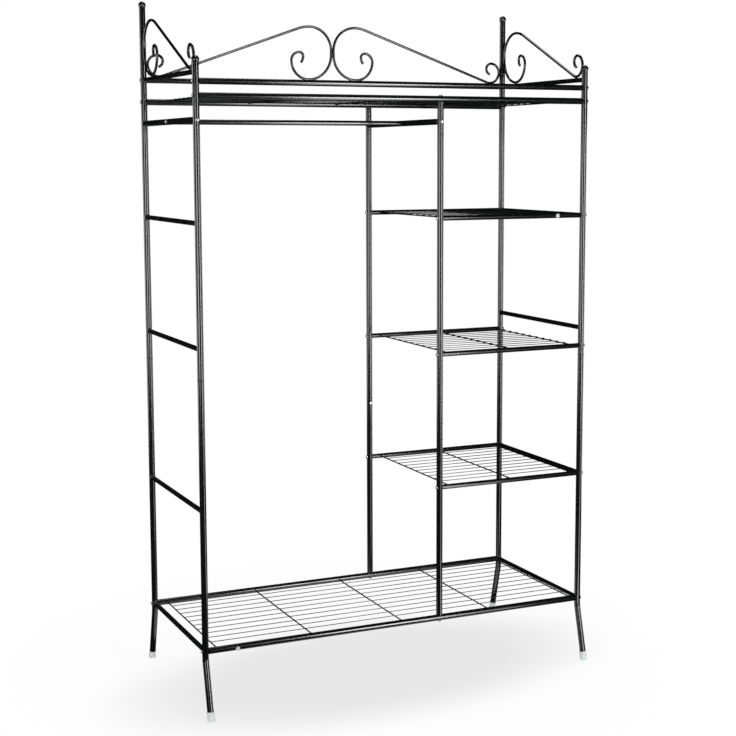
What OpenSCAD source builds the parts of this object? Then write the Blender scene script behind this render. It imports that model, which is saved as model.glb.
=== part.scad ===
// Open clothes rack of round steel tube: a hanging bay on the left, three wire
// shelves on the right, a wire base, and a wire tray on top with bent scrollwork.
// X runs to the right, Y to the back and Z up. The origin is on the floor, in the
// middle of the footprint.

/* [Frame] */
// Distance between the left and right corner posts, axis to axis
frame_w = 1050; // [800:10:1300]
// Distance between the front and back posts, axis to axis
frame_d = 432; // [320:4:560]
// Width of the shelf bay, from the centre posts to the right posts, axis to axis
bay_w = 418; // [300:2:500]

/* [Levels] */
// Height of the base rails above the floor
base_z = 162; // [140:1:200]
// Height from the base rails to the low shelf, and from each shelf to the next
shelf_step = 343; // [280:1:380]
// Height of the middle side rails above the floor
middle_side_z = 895; // [880:1:960]
// Height of the tray rails above the floor
tray_z = 1485; // [1400:1:1600]
// Height of the front guard rail above the tray rails
front_guard_rise = 34; // [20:1:45]
// Height of the back and side guard rails above the tray rails
guard_rise = 55; // [40:1:90]
// Height of the clothes rod and its crossbars below the tray rails
rod_drop = 55; // [40:1:90]
// Height of the front posts' tube ends above the side guard rails
front_post_rise = 22; // [15:1:40]
// Height of the back posts' tube ends above the back guard rail
back_post_rise = 183; // [150:1:240]
// Height above the floor where the corner posts come apart
post_joint_z = 823; // [720:1:840]
// Height above the floor where the centre posts come apart
centre_joint_z = 673; // [600:1:760]

/* [Tubes] */
// Diameter of the posts
post_d = 16; // [14:0.5:20]
// Wall thickness of the posts
post_wall = 1; // [0.8:0.1:1.5]
// Diameter of the base rails and tray rails
rail_d = 16; // [14:0.5:18]
// Diameter of the front and back guard rails
guard_rail_d = 14; // [12:0.5:16]
// Diameter of the shelf rails
shelf_rail_d = 12.7; // [11:0.1:14]
// Diameter of the welded side rails
side_rail_d = 12; // [10:0.5:13]
// Diameter of the two crossbars that carry the clothes rod
crossbar_d = 15; // [13:0.5:18]
// Diameter of the clothes rod
rod_d = 13; // [12:0.5:15]
// Wall thickness of every rail, bar and rod
rail_wall = 0.9; // [0.7:0.1:1.2]

/* [Legs] */
// Angle at which the legs lean out to the front and back
leg_splay = 14.5; // [6:0.5:18]
// Radius of the bend above each leg, at the tube's axis
leg_bend_r = 60; // [40:5:100]
// Height of the base rails above the start of the bend
leg_bend_drop = 12; // [10:1:20]
// Height of a leg's end above the floor, at its axis
leg_end_z = 5; // [4:0.5:8]
// Length of a foot cap along the leg above the leg's end
foot_cap_l = 16; // [10:1:25]
// Wall thickness of a foot cap
foot_cap_wall = 1.4; // [1:0.1:2]

/* [Finials] */
// Diameter of the ball on each corner post
ball_d = 19.2; // [17:0.1:22]
// Depth of the plug under the ball inside the post
ball_plug_l = 12; // [8:1:20]

/* [Grids] */
// Diameter of the long wires
wire_d = 2; // [1.6:0.1:3]
// Diameter of the cross wires
cross_wire_d = 3.5; // [3:0.1:5]
// Number of long wires in each grid
wire_count = 10; // [6:1:14]
// Distance from the front and back rails to the nearest long wire, axis to axis
wire_margin = 54; // [30:1:70]
// Number of cross wires in the base grid and the tray grid
full_cross_count = 5; // [3:1:8]
// Number of cross wires in each shelf grid
bay_cross_count = 3; // [2:1:5]
// Distance from a grid's left posts to its first cross wire, axis to axis
grid_inset_left = 33; // [14:1:60]
// Distance from a grid's right posts to its last cross wire, axis to axis
grid_inset_right = 17; // [14:1:60]
// Length of the long wires past the first and last cross wires
wire_overhang = 3; // [2:0.5:5]

/* [Scrollwork] */
// Diameter of the bent wire
scroll_d = 7; // [5:0.5:8]
// Height of the back crests above the top of the guard rail, at the wire's axis
back_crest_h = 143; // [135:1:180]
// Height of the side crests above the top of the guard rail, at the wire's axis
side_crest_h = 139; // [135:1:180]
// Radius of the crest on the side of the straight slope
crest_slope_r = 100; // [70:5:120]
// Radius of the crest on the side of the large curl
crest_curl_r = 62; // [50:1:70]
// Radii of the large curl's quarter turns, from the outside to the tip
large_curl = [66, 49, 23, 11]; // [8:1:70]
// Radius of the flatter bend at the large curl's tip
large_tip_r = 24; // [14:1:40]
// Angle of the bend at the large curl's tip
large_tip_turn = 43; // [20:1:60]
// Radii of the small curl, from the outside to the tip
small_curl = [29, 25, 15]; // [8:1:40]
// Angle of the last bend of the small curl
small_tip_turn = 165; // [90:5:200]
// Most that the bent wire's straight stretches cut off its curve
scroll_bow = 0.2; // [0.1:0.05:0.5]
// Number of flat sides around the bent wire
scroll_sides = 10; // [8:1:16]

/* [Fasteners] */
// Diameter of the bolts
bolt_d = 5; // [4:0.5:6]
// Length of a bolt under its head
bolt_l = 30; // [26:1:34]
// Diameter of a bolt's head
head_d = 9; // [8:0.5:10]
// Height of a bolt's head
head_h = 2.6; // [2:0.1:3.5]
// Width of the hexagon socket in a bolt's head, across its corners
socket_d = 3.4; // [2.5:0.1:4]
// Depth of the hexagon socket
socket_depth = 1.4; // [1:0.1:1.8]
// Length of the threaded insert in a tube's end
insert_l = 18; // [14:1:24]
// Distance from the tube that is bolted through to the insert's face
insert_set = 1; // [0.5:0.5:3]
// Length of a screw under its head, at the centre posts' joints
joint_screw_l = 7; // [5:0.5:9]
// Height of the centre posts' joints above their screws
joint_screw_drop = 14; // [8:1:24]
// Length of the sleeve inside a post's joint
sleeve_l = 70; // [50:2:110]
// Wall thickness of a joint sleeve
sleeve_wall = 1; // [0.8:0.1:1.5]
// Height of the bead that stops a sleeve halfway
bead_h = 1.6; // [1:0.1:3]
// Step of the bead outside the post's surface
bead_step = 0.5; // [0.2:0.1:1]
// Diameter of the stem of a rail plug
plug_d = 4; // [3:0.5:5]
// Diameter of a rail plug's head
plug_head_d = 11; // [8:0.5:12]
// Height of a rail plug's head above the rail
plug_head_h = 1.8; // [1.5:0.1:3]
// Angle at which the base rail's plug points down from straight ahead
plug_drop = 18; // [0:1:40]
// Distance from the corner posts to a rail plug, axis to axis
plug_inset = 80; // [50:1:120]

/* [Fits] */
// Gap between a tube's end or a screw's head and what it is fixed to
seat_gap = 0.1; // [0.05:0.05:0.3]
// Gap around a bolt in a drilled hole
hole_gap = 0.3; // [0.2:0.05:0.5]
// Gap around a bolt in a threaded insert
thread_gap = 0.1; // [0.05:0.05:0.2]
// Gap around an insert, a sleeve or a plug inside its tube
slide_gap = 0.1; // [0.05:0.05:0.2]
// Gap between the shaped ears of a bolted tube's end and a side rail
ear_gap = 0.5; // [0.3:0.1:0.8]
// Length that a straight tube reaches into the bend that it runs on in
bend_lap = 0.5; // [0.3:0.1:1]
// How much thicker a bend's wall is on each side than the straight tubes that it joins
bend_swell = 0.05; // [0.03:0.01:0.1]

/* [Hidden] */
$fn = 48;
half_w = frame_w / 2;
half_d = frame_d / 2;
centre_x = half_w - bay_w;
post_r = post_d / 2;
rail_r = rail_d / 2;
side_r = side_rail_d / 2;
scroll_r = scroll_d / 2;
low_shelf_z = base_z + shelf_step;
middle_shelf_z = low_shelf_z + shelf_step;
high_shelf_z = middle_shelf_z + shelf_step;
rod_z = tray_z - rod_drop;
front_guard_z = tray_z + front_guard_rise;
guard_z = tray_z + guard_rise;
front_post_top = guard_z + front_post_rise;
back_post_top = guard_z + back_post_rise;
joint_screw_z = centre_joint_z - joint_screw_drop;
// Distance from a tube's axis to the ears of a bolted tube that meets it
ear_x = side_r + ear_gap;
// Start and end of the bend above a leg, and its run to the leg's end
bend_top_z = base_z - leg_bend_drop;
bend_end_z = bend_top_z - leg_bend_r * sin(leg_splay);
bend_out = leg_bend_r * (1 - cos(leg_splay));
leg_l = (bend_end_z - leg_end_z) / cos(leg_splay);
// How far a ball's lowest point lies under its post's end, so that it covers the tube
ball_sink = (ball_d - sqrt(ball_d * ball_d - post_d * post_d)) / 2;
// Heights of the bolts that run along X through each post
shelf_bolts = [low_shelf_z, middle_shelf_z, high_shelf_z];
left_front_bolts = [base_z, tray_z, front_guard_z];
left_back_bolts = [base_z, tray_z, guard_z];
right_front_bolts = concat(left_front_bolts, shelf_bolts);
right_back_bolts = concat(left_back_bolts, shelf_bolts);
// How far a cutting shape runs past what it cuts
cut = 1;
coat = "#1b1c1e";
zinc = "#c9ccd0";
foot_plastic = "#cdd4d5";

// Solid rods along each axis, from a to b, with (u, v) the other two coordinates
module rod_x(a, b, u, v, r) {
    translate([a, u, v]) rotate([0, 90, 0]) cylinder(r = r, h = b - a);
}
module rod_y(a, b, u, v, r) {
    translate([u, a, v]) rotate([-90, 0, 0]) cylinder(r = r, h = b - a);
}
module rod_z(a, b, u, v, r) {
    translate([u, v, a]) cylinder(r = r, h = b - a);
}

// Ring that is the section of a round tube
module tube_section(r, wall) {
    difference() {
        circle(r = r);
        circle(r = r - wall);
    }
}

// Holes for the bolts along X, and for the one along Y, through a post at (x, y)
module bolt_holes(x, y, x_heights, y_heights) {
    for (z = x_heights)
        rod_x(x - post_d, x + post_d, y, z, bolt_d / 2 + hole_gap);
    for (z = y_heights)
        rod_y(y - post_d, y + post_d, x, z, bolt_d / 2 + hole_gap);
}

// Straight post tube between two heights
module post_tube(x, y, bottom, top) {
    translate([x, y, bottom])
        linear_extrude(top - bottom) tube_section(post_r, post_wall);
}

// Hole for the screw that holds a centre post's joint, on the inner side
module joint_screw_hole(y) {
    inner = sign(-y);
    translate([centre_x, y, joint_screw_z]) rotate([-90 * inner, 0, 0])
        cylinder(r = bolt_d / 2 + hole_gap, h = post_d);
}

// Upper part of a corner post, from the joint to the finial
module upper_post(x, y, top, x_heights, y_heights) {
    color(coat) difference() {
        post_tube(x, y, post_joint_z + bead_h / 2, top);
        bolt_holes(x, y, x_heights, y_heights);
    }
}

// Lower part of a corner post: straight down to the base rail, then bent outwards
module lower_post(x, y, x_heights) {
    out = sign(y);
    color(coat) difference() {
        union() {
            post_tube(x, y, bend_top_z - bend_lap, post_joint_z - bead_h / 2);
            translate([x, y, 0]) scale([1, out, 1]) {
                translate([0, leg_bend_r, bend_top_z])
                    rotate([0, 90, 0]) rotate([0, 0, -90])
                        rotate_extrude(angle = leg_splay) translate([leg_bend_r, 0])
                            tube_section(post_r + bend_swell, post_wall + 2 * bend_swell);
                translate([0, bend_out, bend_end_z]) rotate([180 + leg_splay, 0, 0])
                    translate([0, 0, -bend_lap])
                        linear_extrude(leg_l + bend_lap) tube_section(post_r, post_wall);
            }
        }
        bolt_holes(x, y, x_heights, []);
    }
}

// Clear plastic cap on a leg's end, cut level with the floor
module foot_cap(x, y) {
    out = sign(y);
    bore_r = post_r + slide_gap;
    end_y = bend_out + leg_l * sin(leg_splay);
    color(foot_plastic) intersection() {
        translate([x, y, 0]) scale([1, out, 1]) translate([0, end_y, leg_end_z])
            rotate([leg_splay, 0, 0]) difference() {
                translate([0, 0, -post_d]) cylinder(r = bore_r + foot_cap_wall, h = post_d + foot_cap_l);
                translate([0, 0, -slide_gap]) cylinder(r = bore_r, h = foot_cap_l + post_d);
            }
        translate([x - post_d * 2, y - frame_d / 2, 0]) cube([post_d * 4, frame_d, base_z]);
    }
}

// Ball on a post's end, with its plug inside the tube
module finial(x, y, top) {
    color(coat) translate([x, y, top]) union() {
        intersection() {
            translate([0, 0, ball_d / 2 - ball_sink]) sphere(d = ball_d);
            translate([-ball_d, -ball_d, seat_gap]) cube([ball_d * 2, ball_d * 2, ball_d * 2]);
        }
        translate([0, 0, -ball_plug_l])
            cylinder(r = post_r - post_wall - slide_gap, h = ball_plug_l + cut);
    }
}

// Upper part of a centre post, up to the tray rail
module centre_post_upper(y) {
    color(coat) difference() {
        post_tube(centre_x, y, centre_joint_z + bead_h / 2, tray_z - ear_x);
        rod_x(centre_x - post_d, centre_x + post_d, y, tray_z, rail_r + seat_gap);
        bolt_holes(centre_x, y, shelf_bolts, [rod_z]);
    }
}

// Lower part of a centre post, down to the base rail
module centre_post_lower(y) {
    color(coat) difference() {
        post_tube(centre_x, y, base_z + ear_x, centre_joint_z - bead_h / 2);
        rod_x(centre_x - post_d, centre_x + post_d, y, base_z, rail_r + seat_gap);
        bolt_holes(centre_x, y, shelf_bolts, []);
        joint_screw_hole(y);
    }
}

// Tube along X, bolted between two posts: its ends are hollowed to fit them
module bolted_rail(x0, x1, y, z, d) {
    color(coat) difference() {
        translate([x0 + ear_x, y, z]) rotate([0, 90, 0])
            linear_extrude(x1 - x0 - 2 * ear_x) tube_section(d / 2, rail_wall);
        for (x = [x0, x1])
            rod_z(z - d, z + d, x, y, post_r + seat_gap);
        children();
    }
}

// Turns what is drawn along Z at the origin to point to the front from a front rail's axis
module facing_front(x, z, drop) {
    translate([x, -half_d, z]) rotate([90 + drop, 0, 0]) children();
}

// Upright hole through a base or tray rail for a centre post's bolt
module centre_bolt_hole(y, z) {
    rod_z(z - rail_d, z + rail_d, centre_x, y, bolt_d / 2 + hole_gap);
}

module base_rail(y) {
    bolted_rail(-half_w, half_w, y, base_z, rail_d) {
        centre_bolt_hole(y, base_z);
        if (y < 0)
            facing_front(plug_inset - half_w, base_z, plug_drop)
                cylinder(d = plug_d + 2 * slide_gap, h = rail_d);
    }
}

module tray_rail(y) {
    bolted_rail(-half_w, half_w, y, tray_z, rail_d) centre_bolt_hole(y, tray_z);
}

module guard_rail(y, z) {
    bolted_rail(-half_w, half_w, y, z, guard_rail_d);
}

module shelf_rail(y, z) {
    bolted_rail(centre_x, half_w, y, z, shelf_rail_d) {
        if (y < 0 && z == high_shelf_z)
            facing_front(half_w - plug_inset, z, 0)
                cylinder(d = plug_d + 2 * slide_gap, h = rail_d);
    }
}

// Thin tube along Y, welded between a front and a back post
module side_rail(x, z) {
    color(coat) difference() {
        translate([x, -half_d, z]) rotate([-90, 0, 0])
            linear_extrude(frame_d) tube_section(side_r, rail_wall);
        for (y = [-half_d, half_d])
            rod_z(z - side_rail_d, z + side_rail_d, x, y, post_r + seat_gap);
    }
}

// Tube along Y that carries one end of the clothes rod
module crossbar(x) {
    color(coat) difference() {
        translate([x, ear_x - half_d, rod_z]) rotate([-90, 0, 0])
            linear_extrude(frame_d - 2 * ear_x) tube_section(crossbar_d / 2, rail_wall);
        for (y = [-half_d, half_d])
            rod_z(rod_z - crossbar_d, rod_z + crossbar_d, x, y, post_r + seat_gap);
        rod_x(x - crossbar_d, x + crossbar_d, 0, rod_z, bolt_d / 2 + hole_gap);
    }
}

// Tube that the hangers go on, halfway between front and back
module clothes_rod() {
    color(coat) difference() {
        translate([-half_w, 0, rod_z]) rotate([0, 90, 0])
            linear_extrude(centre_x + half_w) tube_section(rod_d / 2, rail_wall);
        for (x = [-half_w, centre_x])
            rod_y(-rod_d, rod_d, x, rod_z, crossbar_d / 2 + seat_gap);
    }
}

// Welded wire grid between two rails: long wires on top of cross wires
module grid(x0, x1, z, rail_radius, cross_count) {
    first_x = x0 + grid_inset_left;
    last_x = x1 - grid_inset_right;
    cross_pitch = (last_x - first_x) / (cross_count - 1);
    wire_pitch = (frame_d - 2 * wire_margin) / (wire_count - 1);
    // The wires bite into each other by a tenth where they are welded
    wire_z = z + (cross_wire_d + wire_d) / 2 - wire_d / 10;
    color(coat) difference() {
        union() {
            for (i = [0 : cross_count - 1])
                rod_y(-half_d, half_d, first_x + i * cross_pitch, z, cross_wire_d / 2);
            for (i = [0 : wire_count - 1])
                rod_x(first_x - wire_overhang, last_x + wire_overhang,
                    wire_margin - half_d + i * wire_pitch, wire_z, wire_d / 2);
        }
        for (y = [-half_d, half_d])
            rod_x(x0, x1, y, z, rail_radius + seat_gap);
    }
}

// Points along an arc, spaced so that straight lines between them stay near it
function arc_path(centre, r, start, turn) =
    let (steps = ceil(turn / (2 * acos(1 - scroll_bow / r))))
    [for (i = [0 : steps]) centre + r * [cos(start + turn * i / steps), sin(start + turn * i / steps)]];

// Points along arcs that follow on from each other: bends holds the radius and turn of each
function curl_path(centre, start, bends, i = 0) =
    let (
        r = bends[i][0],
        end = start + bends[i][1],
        arc = arc_path(centre, r, start, bends[i][1])
    )
    i == len(bends) - 1 ? arc : let (
        next_centre = centre + (r - bends[i + 1][0]) * [cos(end), sin(end)],
        rest = curl_path(next_centre, end, bends, i + 1)
    )
    concat(arc, [for (j = [1 : len(rest) - 1]) rest[j]]);

// The centre line of one bent wire: X runs from the line that the large curl touches to
// the line that the small curl touches, and Y is the height above the rail
function scroll_path(span, crest_h) =
    let (
        edge = scroll_r + seat_gap,
        crest = [edge + crest_curl_r, crest_h],
        slope_centre = crest - [0, crest_slope_r],
        large_centre = [edge + large_curl[0], edge + large_curl[0]],
        small_centre = [span - edge - small_curl[0], edge + small_curl[0]],
        // The straight slope is the crossing tangent of the crest's arc and the small curl
        step = small_centre - slope_centre,
        both_r = crest_slope_r + small_curl[0],
        slope_l = sqrt(step.x * step.x + step.y * step.y - both_r * both_r),
        fall = atan2(both_r, slope_l) - atan2(step.y, step.x),
        crest_arc = curl_path(slope_centre, 90 - fall, [[crest_slope_r, fall], [crest_curl_r, 90]]),
        large = curl_path(large_centre, 180, [
            [large_curl[0], 90], [large_curl[1], 90], [large_curl[2], 90], [large_curl[3], 90],
            [large_tip_r, large_tip_turn]
        ]),
        small = curl_path(small_centre, 270 - fall, [
            [small_curl[0], 90 + fall], [small_curl[1], 90], [small_curl[2], small_tip_turn]
        ])
    )
    concat([for (j = [len(small) - 1 : -1 : 0]) small[j]], crest_arc, large);

// Direction from one point to another, with a length of 1
function way(a, b) = (b - a) / norm(b - a);

// Round wire of the scrollwork along a path in the XY plane. At a bend its sections stand
// on the line that halves the angle, so that each straight stretch keeps its thickness
module swept_wire(path) {
    last = len(path) - 1;
    points = [for (i = [0 : last])
        let (
            before = way(path[max(i, 1) - 1], path[max(i, 1)]),
            after = way(path[min(i, last - 1)], path[min(i, last - 1) + 1]),
            ahead = way([0, 0], before + after),
            stretch = scroll_r / (ahead * after)
        )
        for (k = [0 : scroll_sides - 1])
            let (out = stretch * cos(360 * k / scroll_sides), up = scroll_r * sin(360 * k / scroll_sides))
            [path[i].x - out * ahead.y, path[i].y + out * ahead.x, up]
    ];
    sides = [for (i = [0 : last - 1], k = [0 : scroll_sides - 1])
        let (next = (k + 1) % scroll_sides, near = i * scroll_sides, far = near + scroll_sides)
        [near + k, far + k, far + next, near + next]
    ];
    first_end = [for (k = [0 : scroll_sides - 1]) k];
    last_end = [for (k = [scroll_sides - 1 : -1 : 0]) last * scroll_sides + k];
    polyhedron(points, concat(sides, [first_end, last_end]));
}

// Half of the scrollwork on the back guard rail; side is -1 on the left and 1 on the right
module back_scroll(side) {
    color(coat) scale([side, 1, 1]) translate([0, half_d, guard_z + guard_rail_d / 2])
        rotate([90, 0, 0]) swept_wire(scroll_path(half_w - post_r, back_crest_h));
}

// Scrollwork on a side guard rail, with its large curl at the back
module side_scroll(x) {
    color(coat) translate([x, half_d - post_r, guard_z + side_r])
        rotate([90, 0, -90]) swept_wire(scroll_path(frame_d - post_d, side_crest_h));
}

// Bolt along X, with its head's underside at the origin
module bolt(l) {
    rotate([0, 90, 0]) {
        cylinder(d = bolt_d, h = l);
        difference() {
            translate([0, 0, -head_h]) union() {
                cylinder(d1 = head_d - head_h / 2, d2 = head_d, h = head_h / 2);
                translate([0, 0, head_h / 2]) cylinder(d = head_d, h = head_h / 2);
            }
            translate([0, 0, -head_h - cut]) cylinder(d = socket_d, h = socket_depth + cut, $fn = 6);
        }
    }
}

// Bolt through the tube of radius r at a place, entering from the side that turn gives
module through_bolt(place, turn, r) {
    translate(place) rotate(turn) translate([-r - seat_gap, 0, 0]) bolt(bolt_l);
}

FROM_LEFT = [0, 0, 0];
FROM_RIGHT = [0, 0, 180];
FROM_FRONT = [0, 0, 90];
FROM_BACK = [0, 0, -90];
FROM_BELOW = [0, -90, 0];
FROM_ABOVE = [0, 90, 0];

// Bolts along X that hold the base, tray, guard and shelf rails between the posts
module rail_bolts() {
    color(zinc) {
        for (z = left_front_bolts) through_bolt([-half_w, -half_d, z], FROM_LEFT, post_r);
        for (z = left_back_bolts) through_bolt([-half_w, half_d, z], FROM_LEFT, post_r);
        for (z = right_front_bolts) through_bolt([half_w, -half_d, z], FROM_RIGHT, post_r);
        for (z = right_back_bolts) through_bolt([half_w, half_d, z], FROM_RIGHT, post_r);
        for (y = [-half_d, half_d], z = shelf_bolts)
            through_bolt([centre_x, y, z], FROM_LEFT, post_r);
    }
}

// Bolts that hold the crossbars to the posts, and the clothes rod to the crossbars
module crossbar_bolts() {
    color(zinc) {
        for (x = [-half_w, centre_x]) {
            through_bolt([x, -half_d, rod_z], FROM_FRONT, post_r);
            through_bolt([x, half_d, rod_z], FROM_BACK, post_r);
        }
        through_bolt([-half_w, 0, rod_z], FROM_LEFT, crossbar_d / 2);
        through_bolt([centre_x, 0, rod_z], FROM_RIGHT, crossbar_d / 2);
    }
}

// Bolts in the ends of the centre posts, and the screws at the centre posts' joints
module centre_post_bolts() {
    color(zinc) for (y = [-half_d, half_d]) {
        through_bolt([centre_x, y, base_z], FROM_BELOW, rail_r);
        through_bolt([centre_x, y, tray_z], FROM_ABOVE, rail_r);
        translate([centre_x, y, joint_screw_z]) rotate(y < 0 ? FROM_BACK : FROM_FRONT)
            translate([-post_r - seat_gap, 0, 0]) bolt(joint_screw_l);
    }
}

// Threaded insert in the end of a tube of outer radius r, for a bolt through tube_r
module insert(place, turn, tube_r, r) {
    translate(place) rotate(turn) translate([tube_r + insert_set, 0, 0]) rotate([0, 90, 0])
        difference() {
            cylinder(r = r - slide_gap, h = insert_l);
            translate([0, 0, -cut])
                cylinder(d = bolt_d + 2 * thread_gap, h = insert_l + 2 * cut);
        }
}

// The two inserts in the ends of a bolted rail
module rail_inserts(x0, x1, y, z, d) {
    insert([x0, y, z], FROM_LEFT, post_r, d / 2 - rail_wall);
    insert([x1, y, z], FROM_RIGHT, post_r, d / 2 - rail_wall);
}

module threaded_inserts() {
    color(zinc) {
        for (y = [-half_d, half_d]) {
            for (z = [base_z, tray_z]) rail_inserts(-half_w, half_w, y, z, rail_d);
            for (z = shelf_bolts) rail_inserts(centre_x, half_w, y, z, shelf_rail_d);
            insert([centre_x, y, base_z], FROM_BELOW, rail_r, post_r - post_wall);
            insert([centre_x, y, tray_z], FROM_ABOVE, rail_r, post_r - post_wall);
        }
        rail_inserts(-half_w, half_w, -half_d, front_guard_z, guard_rail_d);
        rail_inserts(-half_w, half_w, half_d, guard_z, guard_rail_d);
        for (x = [-half_w, centre_x]) {
            insert([x, -half_d, rod_z], FROM_FRONT, post_r, crossbar_d / 2 - rail_wall);
            insert([x, half_d, rod_z], FROM_BACK, post_r, crossbar_d / 2 - rail_wall);
        }
        insert([-half_w, 0, rod_z], FROM_LEFT, crossbar_d / 2, rod_d / 2 - rail_wall);
        insert([centre_x, 0, rod_z], FROM_RIGHT, crossbar_d / 2, rod_d / 2 - rail_wall);
    }
}

// Tube inside a post's joint, with a bead halfway that both halves of the post meet
module sleeve(x, y, z) {
    sleeve_r = post_r - post_wall - slide_gap;
    translate([x, y, z]) rotate_extrude() {
        translate([sleeve_r - sleeve_wall, -sleeve_l / 2]) square([sleeve_wall, sleeve_l]);
        translate([sleeve_r - sleeve_wall, -bead_h / 2])
            square([post_r + bead_step - sleeve_r + sleeve_wall, bead_h]);
    }
}

module joint_sleeves() {
    color(coat) {
        for (y = [-half_d, half_d]) {
            difference() {
                sleeve(-half_w, y, post_joint_z);
                bolt_holes(-half_w, y, left_front_bolts, []);
            }
            difference() {
                sleeve(half_w, y, post_joint_z);
                bolt_holes(half_w, y, right_front_bolts, []);
            }
            difference() {
                sleeve(centre_x, y, centre_joint_z);
                bolt_holes(centre_x, y, shelf_bolts, [rod_z]);
                joint_screw_hole(y);
            }
        }
    }
}

// Plug with a round head that hugs a rail of diameter d, along Z from the rail's axis
module plug(d) {
    head_z = d / 2 + plug_head_h;
    difference() {
        union() {
            cylinder(d = plug_head_d, h = head_z - plug_head_h / 2);
            translate([0, 0, head_z - plug_head_h / 2])
                cylinder(d1 = plug_head_d, d2 = plug_head_d - plug_head_h, h = plug_head_h / 2);
        }
        rod_x(-plug_head_d, plug_head_d, 0, 0, d / 2 + seat_gap);
    }
    translate([0, 0, d / 2 - rail_wall * 2]) cylinder(d = plug_d, h = rail_wall * 2 + plug_head_h / 2);
}

// Plugs in the base front rail and in the high shelf's front rail
module rail_plugs() {
    color(foot_plastic) {
        facing_front(plug_inset - half_w, base_z, plug_drop) plug(rail_d);
        facing_front(half_w - plug_inset, high_shelf_z, 0) plug(shelf_rail_d);
    }
}

upper_post(-half_w, -half_d, front_post_top, left_front_bolts, [rod_z]);  // left_front_post_upper
lower_post(-half_w, -half_d, left_front_bolts);  // left_front_post_lower
upper_post(-half_w, half_d, back_post_top, left_back_bolts, [rod_z]);  // left_back_post_upper
lower_post(-half_w, half_d, left_back_bolts);  // left_back_post_lower
upper_post(half_w, -half_d, front_post_top, right_front_bolts, []);  // right_front_post_upper
lower_post(half_w, -half_d, right_front_bolts);  // right_front_post_lower
upper_post(half_w, half_d, back_post_top, right_back_bolts, []);  // right_back_post_upper
lower_post(half_w, half_d, right_back_bolts);  // right_back_post_lower
centre_post_upper(-half_d);  // centre_front_post_upper
centre_post_lower(-half_d);  // centre_front_post_lower
centre_post_upper(half_d);  // centre_back_post_upper
centre_post_lower(half_d);  // centre_back_post_lower
finial(-half_w, -half_d, front_post_top);  // left_front_finial
finial(-half_w, half_d, back_post_top);  // left_back_finial
finial(half_w, -half_d, front_post_top);  // right_front_finial
finial(half_w, half_d, back_post_top);  // right_back_finial
foot_cap(-half_w, -half_d);  // left_front_foot_cap
foot_cap(-half_w, half_d);  // left_back_foot_cap
foot_cap(half_w, -half_d);  // right_front_foot_cap
foot_cap(half_w, half_d);  // right_back_foot_cap
side_rail(-half_w, base_z);  // left_base_side_rail
side_rail(-half_w, low_shelf_z);  // left_low_side_rail
side_rail(-half_w, middle_side_z);  // left_middle_side_rail
side_rail(-half_w, high_shelf_z);  // left_high_side_rail
side_rail(-half_w, guard_z);  // left_guard_side_rail
side_rail(half_w, base_z);  // right_base_side_rail
side_rail(half_w, low_shelf_z);  // right_low_side_rail
side_rail(half_w, middle_side_z);  // right_middle_side_rail
side_rail(half_w, high_shelf_z);  // right_high_side_rail
side_rail(half_w, guard_z);  // right_guard_side_rail
side_scroll(-half_w);  // left_side_scroll
side_scroll(half_w);  // right_side_scroll
back_scroll(-1);  // back_left_scroll
back_scroll(1);  // back_right_scroll
guard_rail(-half_d, front_guard_z);  // front_guard_rail
guard_rail(half_d, guard_z);  // back_guard_rail
tray_rail(-half_d);  // tray_front_rail
tray_rail(half_d);  // tray_back_rail
grid(-half_w, half_w, tray_z, rail_r, full_cross_count);  // tray_grid
base_rail(-half_d);  // base_front_rail
base_rail(half_d);  // base_back_rail
grid(-half_w, half_w, base_z, rail_r, full_cross_count);  // base_grid
shelf_rail(-half_d, low_shelf_z);  // low_shelf_front_rail
shelf_rail(half_d, low_shelf_z);  // low_shelf_back_rail
grid(centre_x, half_w, low_shelf_z, shelf_rail_d / 2, bay_cross_count);  // low_shelf_grid
shelf_rail(-half_d, middle_shelf_z);  // middle_shelf_front_rail
shelf_rail(half_d, middle_shelf_z);  // middle_shelf_back_rail
grid(centre_x, half_w, middle_shelf_z, shelf_rail_d / 2, bay_cross_count);  // middle_shelf_grid
shelf_rail(-half_d, high_shelf_z);  // high_shelf_front_rail
shelf_rail(half_d, high_shelf_z);  // high_shelf_back_rail
grid(centre_x, half_w, high_shelf_z, shelf_rail_d / 2, bay_cross_count);  // high_shelf_grid
crossbar(-half_w);  // left_crossbar
crossbar(centre_x);  // centre_crossbar
clothes_rod();
rail_bolts();
crossbar_bolts();
centre_post_bolts();
threaded_inserts();
joint_sleeves();
rail_plugs();
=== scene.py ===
# An open clothes rack of black steel tube: a hanging bay on the left, three wire shelves
# on the right, a wire base, and a wire tray on top with bent scrollwork behind it. The
# rack's sizes are in millimetres, and the studio's, from the floor on, in metres.
import math

import bmesh
import bpy
import numpy as np
from mathutils import Matrix


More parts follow.
